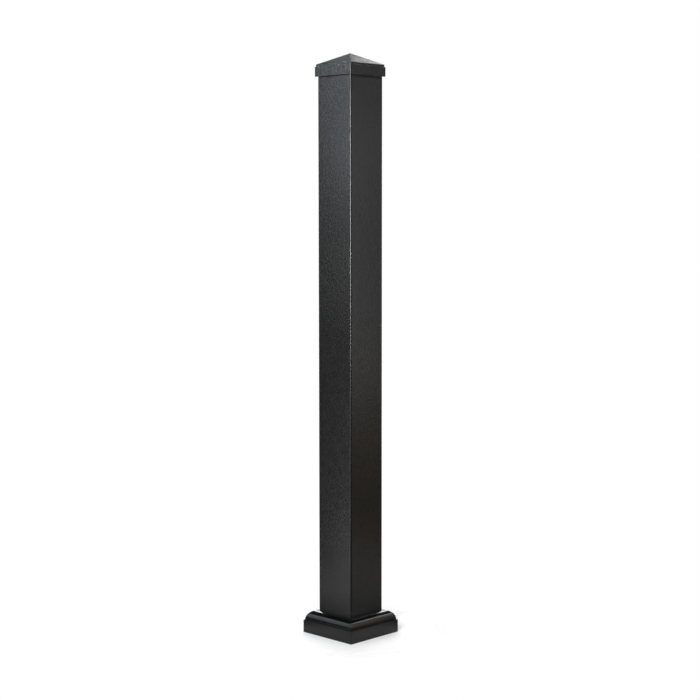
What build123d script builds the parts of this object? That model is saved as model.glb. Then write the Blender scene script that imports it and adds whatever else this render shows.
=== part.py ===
from build123d import *
import os
from math import atan2, cos, radians, sqrt, tan

# Surface-mounted aluminium railing post: a square tube screwed to a base plate,
# a pyramid cap over its top and a moulded skirt round its foot.
# Millimetres, +Z up, origin on the deck at the post's axis.

# Post tube: a square extrusion with an open screw port in each inner corner
post_width = 76.2
post_height = 952.5
tube_wall = 2.5
tube_corner_radius = 2.4
port_bore_radius = 2.7
port_wall = 2.2
port_back_wall = 1.9
port_slot_width = 2.4

# Base plate: anchored to the deck, countersunk underneath for the tube's screws
plate_thickness = 9.5
plate_corner_radius = 6.0
plate_edge_break = 0.8
plate_clearance = 0.95
anchor_hole_radius = 5.3
anchor_edge_distance = 9.0

# Plate screws: flat heads with a hexagon socket
screw_engagement = 28.0
screw_fit = 0.05
screw_hole_clearance = 0.4
screw_head_overhang = 3.3
screw_head_angle = 82.0
screw_head_recess = 0.3
screw_socket_radius = 2.3
screw_socket_depth = 2.4
screw_tip_chamfer = 0.9

# Post cap: a casting whose inner ledge rests on the tube's rim
cap_clearance = 0.4
cap_wall = 3.5
cap_band_height = 16.0
cap_band_corner_radius = 2.4
cap_band_edge_radius = 0.5
cap_step_inset = 1.8
cap_step_height = 4.0
cap_pyramid_rise = 18.7
cap_pyramid_edge_radius = 0.8
cap_shell = 2.6
rib_width = 2.0
rib_gap = 0.05
rib_corner_distance = 16.0

# Base skirt: one moulding section carried round the post, mitred at the corners
skirt_clearance = 0.3
skirt_flat_width = 0.45
skirt_ovolo_radius = 16.4
skirt_ledge = 1.9
skirt_band_height = 21.4
skirt_wall = 2.2
skirt_corner_radius = 0.6
skirt_edge_radius = 0.3

# Sizes that follow: the tube and its screw ports
tube_inside = post_width - 2 * tube_wall
tube_length = post_height - plate_thickness
port_radius = port_bore_radius + port_wall
port_inset = port_bore_radius + port_back_wall
port_spacing = tube_inside - 2 * port_inset
port_slot_middle = port_spacing / sqrt(2) - port_radius / 2

# Sizes that follow: the skirt's section, measured outwards from the post's axis
skirt_opening = post_width / 2 + skirt_clearance
skirt_ovolo_centre = skirt_opening + skirt_flat_width
skirt_ledge_inner = skirt_ovolo_centre + skirt_ovolo_radius
skirt_half = skirt_ledge_inner + skirt_ledge
skirt_top = skirt_band_height + skirt_ovolo_radius

# Sizes that follow: the plate inside the skirt, and its screws
plate_width = 2 * (skirt_half - skirt_wall - plate_clearance)
anchor_spacing = plate_width - 2 * anchor_edge_distance
head_slope = tan(radians(screw_head_angle / 2))
screw_radius = port_bore_radius - screw_fit
screw_head_radius = screw_radius + screw_head_overhang
screw_head_height = screw_head_overhang / head_slope
screw_tip = plate_thickness + screw_engagement
countersink_radius = screw_head_radius + screw_head_recess * head_slope

# Sizes that follow: the cap, whose band ends level with the tube's rim
cap_pocket = post_width + 2 * cap_clearance
cap_width = cap_pocket + 2 * cap_wall
cap_top_width = cap_width - 2 * cap_step_inset
cap_bottom = post_height - cap_band_height
cap_eaves = post_height + cap_step_height
cap_apex = cap_eaves + cap_pyramid_rise
cap_pitch = atan2(cap_pyramid_rise, cap_top_width / 2)
hollow_apex = cap_apex - cap_shell / cos(cap_pitch)
hollow_eaves = hollow_apex - tan(cap_pitch) * tube_inside / 2
rib_height = cap_clearance - rib_gap
rib_spacing = cap_pocket - 2 * rib_corner_distance


def hipped_block(width, bottom, eaves, apex):
    """A square block with a pyramid on top, where two gabled prisms cross."""
    half = width / 2
    gable = [(-half, bottom), (half, bottom), (half, eaves), (0, apex), (-half, eaves)]
    with BuildPart() as block:
        for plane, mode in ((Plane.XZ, Mode.ADD), (Plane.YZ, Mode.INTERSECT)):
            with BuildSketch(plane):
                Polygon(*gable, align=None)
            extrude(amount=half, both=True, mode=mode)
    return block.part


# Post tube
with BuildPart() as tube:
    with BuildSketch(Plane.XY.offset(plate_thickness)):
        RectangleRounded(post_width, post_width, tube_corner_radius)
        Rectangle(tube_inside, tube_inside, mode=Mode.SUBTRACT)
        with GridLocations(tube_inside - port_inset, tube_inside - port_inset, 2, 2):
            Rectangle(port_inset, port_inset)
        with GridLocations(port_spacing, port_spacing, 2, 2):
            Circle(port_radius)
        with GridLocations(port_spacing, port_spacing, 2, 2):
            Circle(port_bore_radius, mode=Mode.SUBTRACT)
        with PolarLocations(port_slot_middle, 4, start_angle=45):
            Rectangle(port_radius, port_slot_width, mode=Mode.SUBTRACT)
    extrude(amount=tube_length)

# Base plate, drilled from its underside
with BuildPart() as plate:
    with BuildSketch():
        RectangleRounded(plate_width, plate_width, plate_corner_radius)
    extrude(amount=plate_thickness)
    chamfer(plate.faces().sort_by(Axis.Z)[-1].edges(), length=plate_edge_break)
    with Locations(plate.faces().sort_by(Axis.Z)[0]):
        with GridLocations(anchor_spacing, anchor_spacing, 2, 2):
            Hole(anchor_hole_radius)
        with GridLocations(port_spacing, port_spacing, 2, 2):
            CounterSinkHole(
                screw_radius + screw_hole_clearance,
                countersink_radius,
                counter_sink_angle=screw_head_angle,
            )

# One plate screw, turned about Z with its head down
with BuildPart() as screw:
    with BuildSketch(Plane.XZ):
        with BuildLine():
            Polyline(
                (0, screw_head_recess),
                (screw_head_radius, screw_head_recess),
                (screw_radius, screw_head_recess + screw_head_height),
                (screw_radius, screw_tip - screw_tip_chamfer),
                (screw_radius - screw_tip_chamfer, screw_tip),
                (0, screw_tip),
                close=True,
            )
        make_face()
    revolve(axis=Axis.Z)
    with BuildSketch(Plane.XY.offset(screw_head_recess)):
        RegularPolygon(screw_socket_radius, side_count=6)
    extrude(amount=screw_socket_depth, mode=Mode.SUBTRACT)

# The four plate screws, one in each port
with BuildPart() as plate_screws:
    with GridLocations(port_spacing, port_spacing, 2, 2):
        add(screw.part)

# The cap's core: the pocket with its grip ribs, and the hollow under the pyramid
with BuildPart() as cap_core:
    with BuildSketch(Plane.XY.offset(cap_bottom)):
        RectangleRounded(cap_pocket, cap_pocket, tube_corner_radius + cap_clearance)
        with GridLocations(rib_spacing, cap_pocket - rib_height, 2, 2):
            Rectangle(rib_width, rib_height, mode=Mode.SUBTRACT)
        with GridLocations(cap_pocket - rib_height, rib_spacing, 2, 2):
            Rectangle(rib_height, rib_width, mode=Mode.SUBTRACT)
    extrude(amount=cap_band_height)
    add(hipped_block(tube_inside, post_height, hollow_eaves, hollow_apex))

# The cap's set-back step and pyramid, with every edge above the step's foot rounded
with BuildPart() as cap_top:
    add(hipped_block(cap_top_width, post_height, cap_eaves, cap_apex))
    foot_edges = cap_top.faces().sort_by(Axis.Z)[0].edges()
    fillet(cap_top.edges() - foot_edges, radius=cap_pyramid_edge_radius)

# Post cap
with BuildPart() as cap:
    with BuildSketch(Plane.XY.offset(cap_bottom)):
        RectangleRounded(cap_width, cap_width, cap_band_corner_radius)
    extrude(amount=cap_band_height)
    fillet(cap.faces().filter_by(Axis.Z).edges(), radius=cap_band_edge_radius)
    add(cap_top.part)
    add(cap_core.part, mode=Mode.SUBTRACT)

# Base skirt: its wall's section, on the side that faces -Y, swept round a square path
with BuildPart() as skirt:
    with BuildLine() as skirt_path:
        Polyline(
            (0, -skirt_half),
            (skirt_half, -skirt_half),
            (skirt_half, skirt_half),
            (-skirt_half, skirt_half),
            (-skirt_half, -skirt_half),
            close=True,
        )
    with BuildSketch(Plane.YZ):
        with BuildLine():
            Polyline(
                (-skirt_opening, skirt_top - skirt_wall),
                (-skirt_opening, skirt_top),
                (-skirt_ovolo_centre, skirt_top),
            )
            CenterArc((-skirt_ovolo_centre, skirt_band_height), skirt_ovolo_radius, 90, 90)
            Polyline(
                (-skirt_ledge_inner, skirt_band_height),
                (-skirt_half, skirt_band_height),
                (-skirt_half, 0),
                (-skirt_half + skirt_wall, 0),
                (-skirt_half + skirt_wall, skirt_band_height - skirt_wall),
                (-skirt_ledge_inner + skirt_wall, skirt_band_height - skirt_wall),
                (-skirt_ledge_inner + skirt_wall, skirt_band_height),
            )
            CenterArc((-skirt_ovolo_centre, skirt_band_height), skirt_ovolo_radius - skirt_wall, 90, 90)
            Line((-skirt_ovolo_centre, skirt_top - skirt_wall), (-skirt_opening, skirt_top - skirt_wall))
        make_face()
    sweep(path=skirt_path.wire(), transition=Transition.RIGHT)

    # The outer corners, then the opening's corners, which follow the tube's
    uprights = skirt.edges().filter_by(Axis.Z).group_by(lambda edge: abs(edge.center().X))
    mitre_arcs = skirt.edges().filter_by(GeomType.LINE, reverse=True).group_by(SortBy.LENGTH)
    fillet(uprights[-1] + mitre_arcs[-1], radius=skirt_corner_radius)
    uprights = skirt.edges().filter_by(Axis.Z).group_by(lambda edge: abs(edge.center().X))
    fillet(uprights[0], radius=tube_corner_radius + skirt_clearance)

    # The band's top edge and the opening's top edge
    levels = skirt.faces().filter_by(Axis.Z).group_by(Axis.Z)
    top_face = levels[-1].face()
    ledge_face = levels[2].face()
    fillet(top_face.inner_wires().edges() + ledge_face.outer_wire().edges(), radius=skirt_edge_radius)

tube.part.label = "post_tube"
plate.part.label = "base_plate"
plate_screws.part.label = "plate_screws"
cap.part.label = "post_cap"
skirt.part.label = "base_skirt"

os.makedirs("parts", exist_ok=True)
export_step(tube.part, "parts/post_tube.step")
export_step(plate.part, "parts/base_plate.step")
export_step(plate_screws.part, "parts/plate_screws.step")
export_step(cap.part, "parts/post_cap.step")
export_step(skirt.part, "parts/base_skirt.step")
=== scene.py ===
import math

import bmesh
import bpy
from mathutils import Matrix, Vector


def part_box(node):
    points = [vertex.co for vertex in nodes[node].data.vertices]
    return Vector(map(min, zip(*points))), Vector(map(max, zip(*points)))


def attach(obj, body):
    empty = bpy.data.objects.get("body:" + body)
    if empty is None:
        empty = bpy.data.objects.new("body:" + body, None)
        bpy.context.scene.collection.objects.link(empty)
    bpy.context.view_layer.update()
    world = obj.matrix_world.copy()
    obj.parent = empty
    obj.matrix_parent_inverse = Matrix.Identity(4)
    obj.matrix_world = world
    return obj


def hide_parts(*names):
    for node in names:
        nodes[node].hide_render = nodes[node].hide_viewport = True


# An aluminium railing post: finishes for its CAD nodes, threads on its plate screws, and a white studio
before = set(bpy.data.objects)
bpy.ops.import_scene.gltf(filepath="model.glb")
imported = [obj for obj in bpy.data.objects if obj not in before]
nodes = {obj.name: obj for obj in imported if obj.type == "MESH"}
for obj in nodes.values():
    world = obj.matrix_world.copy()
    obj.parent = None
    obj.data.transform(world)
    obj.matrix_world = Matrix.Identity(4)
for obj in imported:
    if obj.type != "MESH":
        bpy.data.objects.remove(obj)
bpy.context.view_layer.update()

# Camera, in metres and degrees, round the post's axis; azimuth 0 looks along +Y
CAMERA_AZIMUTH = 44.4
CAMERA_DISTANCE = 2.599
CAMERA_HEIGHT = 0.7156
CAMERA_PITCH = 5.117
CAMERA_ROLL = -0.05
CAMERA_SIDESTEP = -0.0007
CAMERA_LENS = 79.87
CAMERA_SENSOR = 36.0
CAMERA_FAR = 100.0

# Floor: a pale disc that fades out into the white backdrop
FLOOR_RADIUS = 0.19
FLOOR_FADE_START = 0.075
FLOOR_COLOUR = (0.9, 0.9, 0.9, 1.0)
FLOOR_ROUGHNESS = 0.9
FLOOR_SPECULAR = 0.2
FLOOR_SIDES = 96

# Room: what the camera sees behind the post, and the dim light that the post mirrors
BACKDROP_WHITE = (1.0, 1.0, 1.0, 1.0)
ROOM_GREY = (0.03, 0.03, 0.03, 1.0)

# Light colours
COOL = (0.86, 0.93, 1.0)
PLAIN = (1.0, 1.0, 1.0)
WARM = (1.0, 0.80, 0.62)

# Softboxes: place as azimuth, distance and height, height of the aim on the post's axis, size in metres,
# watts and colour
SOFTBOXES = (
    ("key_top", (-36, 1.1, 1.2), 1.2, (0.12, 0.2), 1.7, COOL),
    ("key_close", (-34, 0.75, 0.85), 0.85, (0.1, 0.2), 0.48, COOL),
    ("key_low", (-36, 1.1, 0.6), 0.6, (0.12, 0.2), 0.33, PLAIN),
    ("key_floor", (-28, 1.1, 0.2), 0.2, (0.16, 0.3), 0.7, PLAIN),
    ("edge_high", (28, 1.1, 1.0), 1.0, (0.12, 0.36), 10.0, PLAIN),
    ("edge_low", (28, 1.1, 0.65), 0.65, (0.12, 0.36), 13.0, PLAIN),
    ("right_top", (132, 1.1, 0.95), 0.95, (0.3, 0.3), 0.07, PLAIN),
    ("right_middle", (127, 1.1, 0.75), 0.75, (0.36, 0.4), 0.54, PLAIN),
    ("right_lower", (127, 1.1, 0.5), 0.5, (0.36, 0.4), 0.62, PLAIN),
    ("right_low", (134, 1.1, 0.2), 0.2, (0.16, 0.3), 0.12, WARM),
    ("back_left", (228, 1.6, 1.8), 0.95, (0.4, 0.4), 0.38, COOL),
    ("back_right", (208, 1.6, 1.8), 0.95, (0.4, 0.4), 2.05, PLAIN),
    ("back_card", (CAMERA_AZIMUTH + 180, 1.0, 0.5), 0.2, (1.2, 0.75), 9.6, PLAIN),
    ("front_high", (CAMERA_AZIMUTH, 1.6, 2.5), 0.95, (1.6, 0.5), 2.5, PLAIN),
    ("ceiling", (0, 0, 2.6), 0.0, (2.4, 2.4), 5.5, PLAIN),
)

# Bounce cards: lights just above the floor that face straight up, as azimuth, distance, watts and colour
BOUNCE_HEIGHT = 0.004
BOUNCE_SIZE = (0.3, 0.3)
BOUNCE_CARDS = (
    ("bounce_left_near", -24, 0.37, 0.28, PLAIN),
    ("bounce_left_far", -24, 0.75, 1.9, PLAIN),
    ("bounce_right_near", 130, 0.4, 0.12, PLAIN),
    ("bounce_right_far", 130, 0.7, 0.18, WARM),
)

# Softboxes with a grid: narrow beams, in degrees across, that reach the cap or the skirt alone
GRID_SPREAD = 24.0
CAP_AIM = 0.93
SKIRT_AIM = 0.03
GRIDDED = (
    ("cap_left", (-34, 1.1, 1.6), CAP_AIM, (0.2, 0.2), 0.55, COOL),
    ("cap_right", (130, 1.1, 1.75), CAP_AIM, (0.2, 0.2), 0.56, PLAIN),
    ("skirt_left_high", (-58, 2.0, 1.45), SKIRT_AIM, (0.35, 0.35), 0.025, COOL),
    ("skirt_left_middle", (-53, 2.0, 1.14), SKIRT_AIM, (0.35, 0.35), 0.024, COOL),
    ("skirt_left_low", (-47.5, 2.0, 0.7), SKIRT_AIM, (0.35, 0.55), 0.032, COOL),
    ("skirt_right_high", (155, 2.0, 1.55), SKIRT_AIM, (0.35, 0.35), 0.055, PLAIN),
    ("skirt_right_low", (146, 2.0, 1.0), SKIRT_AIM, (0.35, 0.45), 0.024, PLAIN),
    ("rim_left", (-118, 1.2, 1.05), SKIRT_AIM, (0.25, 0.35), 0.09, PLAIN),
    ("rim_right", (204, 1.2, 1.05), SKIRT_AIM, (0.25, 0.35), 0.06, PLAIN),
)

# Textures: the part of a 0 to 1 noise that is spread over the whole range
NOISE_LOW, NOISE_HIGH = 0.3, 0.7

# Powder coat: its darkest and lightest tone, and the scales of its noises per metre
COAT_LOW = (0.0032, 0.0033, 0.0034)
COAT_HIGH = (0.0052, 0.0051, 0.0050)
COAT_ROUGHNESS_SPREAD = 0.025
WAVE_SCALE = 90.0
PEEL_SCALE = 230.0
GRAIN_SCALE = 1500.0
GRAIN_HEIGHT = 0.000004

# Zinc plate on the screws: its tones, its roughness and the turning marks, with scales per metre
ZINC_LOW = (0.46, 0.46, 0.45)
ZINC_HIGH = (0.62, 0.62, 0.60)
ZINC_ROUGHNESS = (0.26, 0.40)
ZINC_CLOUD_SCALE = 700.0
ZINC_CLOUD_DETAIL = 3.0
TURNING_SCALE = 1200.0
TURNING_DISTORTION = 0.6
TURNING_HEIGHT = 0.000004

# Plate screws, in metres: the shank is cut with a thread whose crests are as wide as the CAD shank.
# The tip's width is a share of the shank's, and half a ridge's width a share of the pitch.
SCREW_HEAD_RADIUS = 0.00595
SCREW_HEAD_HEIGHT = 0.0038
SCREW_CREST_RADIUS = 0.00265
SCREW_ROOT_RADIUS = 0.00215
SCREW_PITCH = 0.0018
SCREW_PLAIN_LENGTH = 0.0045
SCREW_TIP_LENGTH = 0.0030
SCREW_TIP_SHARE = 0.45
SCREW_RIDGE_SHARE = 0.32
SCREW_SOCKET_RADIUS = 0.0023
SCREW_SOCKET_DEPTH = 0.0024
SCREW_SIDES = 36
RINGS_PER_PITCH = 10
SCREW_CORNERS = {
    "front_left": (-1, -1),
    "front_right": (1, -1),
    "back_left": (-1, 1),
    "back_right": (1, 1),
}


def around(azimuth, distance, height):
    """A point at that azimuth in degrees and distance from the post's axis."""
    angle = math.radians(azimuth)
    return Vector((math.sin(angle) * distance, -math.cos(angle) * distance, height))


def new_object(name, data):
    """An object linked to the scene."""
    made = bpy.data.objects.new(name, data)
    bpy.context.scene.collection.objects.link(made)
    return made


def add_camera():
    """The photograph's viewpoint."""
    data = bpy.data.cameras.new("camera")
    data.sensor_width = CAMERA_SENSOR
    data.lens = CAMERA_LENS
    data.clip_end = CAMERA_FAR
    camera = new_object("camera", data)
    sideways = around(CAMERA_AZIMUTH + 90, CAMERA_SIDESTEP, 0)
    camera.location = around(CAMERA_AZIMUTH, CAMERA_DISTANCE, CAMERA_HEIGHT) + sideways
    camera.rotation_euler = (
        math.radians(90 - CAMERA_PITCH),
        0,
        math.radians(CAMERA_AZIMUTH),
    )
    camera.rotation_euler.rotate_axis("Z", math.radians(CAMERA_ROLL))
    bpy.context.scene.camera = camera


def add_softbox(name, place, aim, size, power, colour, spread=180.0):
    """A rectangular soft light at place that faces aim, out of the camera's sight."""
    data = bpy.data.lights.new(name, "AREA")
    data.shape = "RECTANGLE"
    data.size, data.size_y = size
    data.energy = power
    data.color = colour
    data.spread = math.radians(spread)
    light = new_object(name, data)
    light.location = place
    light.rotation_euler = (aim - place).to_track_quat("-Z", "Y").to_euler()
    light.visible_camera = False


def add_floor():
    """The pale disc under the post."""
    bpy.ops.mesh.primitive_circle_add(vertices=FLOOR_SIDES, radius=FLOOR_RADIUS, fill_type="NGON")
    floor = bpy.context.object
    floor.name = "floor"
    material = bpy.data.materials.new("floor_paper")
    material.use_nodes = True
    tree = material.node_tree
    shader = tree.nodes["Principled BSDF"]
    shader.inputs["Base Color"].default_value = FLOOR_COLOUR
    shader.inputs["Roughness"].default_value = FLOOR_ROUGHNESS
    shader.inputs["Specular IOR Level"].default_value = FLOOR_SPECULAR
    coords = tree.nodes.new("ShaderNodeTexCoord")
    length = tree.nodes.new("ShaderNodeVectorMath")
    length.operation = "LENGTH"
    tree.links.new(coords.outputs["Object"], length.inputs[0])
    fade = tree.nodes.new("ShaderNodeMapRange")
    fade.interpolation_type = "SMOOTHSTEP"
    fade.inputs["From Min"].default_value = FLOOR_FADE_START
    fade.inputs["From Max"].default_value = FLOOR_RADIUS
    fade.inputs["To Min"].default_value = 1.0
    fade.inputs["To Max"].default_value = 0.0
    tree.links.new(length.outputs["Value"], fade.inputs["Value"])
    tree.links.new(fade.outputs["Result"], shader.inputs["Alpha"])
    floor.data.materials.append(material)


def add_room():
    """White to the camera, and a dim grey to the post's reflections."""
    world = bpy.data.worlds.new("studio")
    world.use_nodes = True
    tree = world.node_tree
    tree.nodes.clear()
    room = tree.nodes.new("ShaderNodeBackground")
    room.inputs["Color"].default_value = ROOM_GREY
    backdrop = tree.nodes.new("ShaderNodeBackground")
    backdrop.inputs["Color"].default_value = BACKDROP_WHITE
    path = tree.nodes.new("ShaderNodeLightPath")
    mix = tree.nodes.new("ShaderNodeMixShader")
    tree.links.new(path.outputs["Is Camera Ray"], mix.inputs["Fac"])
    tree.links.new(room.outputs["Background"], mix.inputs[1])
    tree.links.new(backdrop.outputs["Background"], mix.inputs[2])
    output = tree.nodes.new("ShaderNodeOutputWorld")
    tree.links.new(mix.outputs["Shader"], output.inputs["Surface"])
    bpy.context.scene.world = world


def add_noise(tree, coords, scale, detail=2.0):
    """A noise texture in the part's own metres."""
    noise = tree.nodes.new("ShaderNodeTexNoise")
    noise.inputs["Scale"].default_value = scale
    noise.inputs["Detail"].default_value = detail
    tree.links.new(coords.outputs["Object"], noise.inputs["Vector"])
    return noise


def add_spread(tree, source, low, high):
    """Spreads the middle of a 0 to 1 texture over low to high."""
    spread = tree.nodes.new("ShaderNodeMapRange")
    spread.inputs["From Min"].default_value = NOISE_LOW
    spread.inputs["From Max"].default_value = NOISE_HIGH
    spread.inputs["To Min"].default_value = low
    spread.inputs["To Max"].default_value = high
    tree.links.new(source, spread.inputs["Value"])
    return spread


def add_ramp(tree, source, low, high):
    """A colour that goes from low to high over the middle of a 0 to 1 texture."""
    tone = tree.nodes.new("ShaderNodeValToRGB")
    dark, light = tone.color_ramp.elements
    dark.position, light.position = NOISE_LOW, NOISE_HIGH
    dark.color, light.color = (*low, 1.0), (*high, 1.0)
    tree.links.new(source, tone.inputs["Fac"])
    return tone


def add_bump(tree, height, distance, under=None):
    """A bump layer of that height in metres, over another one if under is given."""
    bump = tree.nodes.new("ShaderNodeBump")
    bump.inputs["Distance"].default_value = distance
    tree.links.new(height, bump.inputs["Height"])
    if under is not None:
        tree.links.new(under.outputs["Normal"], bump.inputs["Normal"])
    return bump


def new_material(name):
    """A new material, its node tree, its shader and the part's own coordinates."""
    material = bpy.data.materials.new(name)
    material.use_nodes = True
    tree = material.node_tree
    return material, tree, tree.nodes["Principled BSDF"], tree.nodes.new("ShaderNodeTexCoord")


def powder_coat(name, depth, roughness, specular, wave_height, peel_height):
    """Satin black powder coat: slow waves, orange peel, a fine grain and a faint mottle."""
    material, tree, shader, coords = new_material(name)
    shader.inputs["Specular IOR Level"].default_value = specular
    waves = add_noise(tree, coords, WAVE_SCALE)
    peel = add_noise(tree, coords, PEEL_SCALE)
    grain = add_noise(tree, coords, GRAIN_SCALE)
    low = [depth * part for part in COAT_LOW]
    high = [depth * part for part in COAT_HIGH]
    tone = add_ramp(tree, peel.outputs["Fac"], low, high)
    tree.links.new(tone.outputs["Color"], shader.inputs["Base Color"])
    sheen = (roughness - COAT_ROUGHNESS_SPREAD, roughness + COAT_ROUGHNESS_SPREAD)
    rough = add_spread(tree, waves.outputs["Fac"], *sheen)
    tree.links.new(rough.outputs["Result"], shader.inputs["Roughness"])
    slow = add_bump(tree, waves.outputs["Fac"], wave_height)
    skin = add_bump(tree, peel.outputs["Fac"], peel_height, slow)
    fine = add_bump(tree, grain.outputs["Fac"], GRAIN_HEIGHT, skin)
    tree.links.new(fine.outputs["Normal"], shader.inputs["Normal"])
    return material


def zinc_plate(name):
    """Bright zinc on steel, with faint turning marks round the screw's axis."""
    material, tree, shader, coords = new_material(name)
    shader.inputs["Metallic"].default_value = 1.0
    cloud = add_noise(tree, coords, ZINC_CLOUD_SCALE, ZINC_CLOUD_DETAIL)
    tone = add_ramp(tree, cloud.outputs["Fac"], ZINC_LOW, ZINC_HIGH)
    tree.links.new(tone.outputs["Color"], shader.inputs["Base Color"])
    rough = add_spread(tree, cloud.outputs["Fac"], *ZINC_ROUGHNESS)
    tree.links.new(rough.outputs["Result"], shader.inputs["Roughness"])
    marks = tree.nodes.new("ShaderNodeTexWave")
    marks.wave_type = "RINGS"
    marks.rings_direction = "Z"
    marks.inputs["Scale"].default_value = TURNING_SCALE
    marks.inputs["Distortion"].default_value = TURNING_DISTORTION
    tree.links.new(coords.outputs["Object"], marks.inputs["Vector"])
    turned = add_bump(tree, marks.outputs["Fac"], TURNING_HEIGHT)
    tree.links.new(turned.outputs["Normal"], shader.inputs["Normal"])
    return material


def dress(node, material):
    """Gives a CAD node its finish."""
    slots = nodes[node].data.materials
    slots.clear()
    slots.append(material)


def hexagon_reach(angle):
    """How far the socket's wall is from its axis at that angle."""
    flat = SCREW_SOCKET_RADIUS * math.cos(math.pi / 6)
    return flat / math.cos(angle % (math.pi / 3) - math.pi / 6)


def thread_reach(angle, height, top):
    """The shank's radius at that angle and height: a thread that runs in and out smoothly."""
    run_in = min(1.0, max(0.0, (height - SCREW_HEAD_HEIGHT - SCREW_PLAIN_LENGTH) / SCREW_PITCH))
    taper = min(1.0, (top - height) / SCREW_TIP_LENGTH)
    turn = (height / SCREW_PITCH - angle / math.tau) % 1.0
    ridge = max(0.0, 1.0 - abs(turn - 0.5) / SCREW_RIDGE_SHARE)
    depth = SCREW_CREST_RADIUS - SCREW_ROOT_RADIUS
    plain = SCREW_ROOT_RADIUS + 0.5 * depth
    cut = SCREW_ROOT_RADIUS + depth * ridge
    narrowing = SCREW_TIP_SHARE + (1.0 - SCREW_TIP_SHARE) * taper
    return (plain + (cut - plain) * run_in) * narrowing


def screw_mesh(length):
    """A flat-head screw, head at zero and tip up: rings of points, joined from socket to tip."""
    angles = [math.tau * step / SCREW_SIDES for step in range(SCREW_SIDES)]
    rings = [
        [(hexagon_reach(a), SCREW_SOCKET_DEPTH) for a in angles],
        [(hexagon_reach(a), 0.0) for a in angles],
        [(SCREW_HEAD_RADIUS, 0.0) for a in angles],
    ]
    shank = length - SCREW_HEAD_HEIGHT
    count = round(shank / SCREW_PITCH * RINGS_PER_PITCH)
    for step in range(count + 1):
        height = SCREW_HEAD_HEIGHT + shank * step / count
        rings.append([(thread_reach(a, height, length), height) for a in angles])
    mesh = bmesh.new()
    verts = []
    for ring in rings:
        verts.append([
            mesh.verts.new((reach * math.cos(a), reach * math.sin(a), height))
            for a, (reach, height) in zip(angles, ring)
        ])
    for lower, upper in zip(verts, verts[1:]):
        for i in range(SCREW_SIDES):
            j = (i + 1) % SCREW_SIDES
            mesh.faces.new((lower[i], lower[j], upper[j], upper[i]))
    mesh.faces.new(list(reversed(verts[0])))
    mesh.faces.new(verts[-1])
    bmesh.ops.recalc_face_normals(mesh, faces=mesh.faces)
    data = bpy.data.meshes.new("plate_screw")
    mesh.to_mesh(data)
    mesh.free()
    return data


def add_screws(material):
    """The four plate screws, with their threads, where the CAD node has them."""
    low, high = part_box("plate_screws")
    reach = high[0] - SCREW_HEAD_RADIUS
    data = screw_mesh(high[2] - low[2])
    data.materials.append(material)
    for name, (x, y) in SCREW_CORNERS.items():
        screw = new_object(f"plate_screw_{name}", data)
        screw.location = (x * reach, y * reach, low[2])
        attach(screw, "root")
        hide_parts("plate_screws")


add_camera()
add_floor()
add_room()
for name, place, aim_height, size, power, colour in SOFTBOXES:
    add_softbox(name, around(*place), Vector((0, 0, aim_height)), size, power, colour)
for name, azimuth, distance, power, colour in BOUNCE_CARDS:
    place = around(azimuth, distance, BOUNCE_HEIGHT)
    add_softbox(name, place, place + Vector((0, 0, 1)), BOUNCE_SIZE, power, colour)
for name, place, aim_height, size, power, colour in GRIDDED:
    add_softbox(name, around(*place), Vector((0, 0, aim_height)), size, power, colour, GRID_SPREAD)

extrusion_coat = powder_coat(
    "extrusion_coat", depth=1.0, roughness=0.31, specular=0.5, wave_height=0.00010, peel_height=0.00018
)
casting_coat = powder_coat(
    "casting_coat", depth=1.0, roughness=0.30, specular=0.54, wave_height=0.00016, peel_height=0.00027
)
# The skirt wears the same black powder coat as the tube, with its tone cut to 0.35: painted shade that
# deepens the dark valley round the tube's foot
shade_darkened_moulding_coat = powder_coat(
    "shade_darkened_moulding_coat", depth=0.35, roughness=0.20, specular=0.31, wave_height=0.00006, peel_height=0.00004
)
dress("post_tube", extrusion_coat)
dress("base_plate", extrusion_coat)
dress("post_cap", casting_coat)
dress("base_skirt", shade_darkened_moulding_coat)
add_screws(zinc_plate("zinc_plate"))

bpy.context.scene.view_settings.view_transform = "Standard"
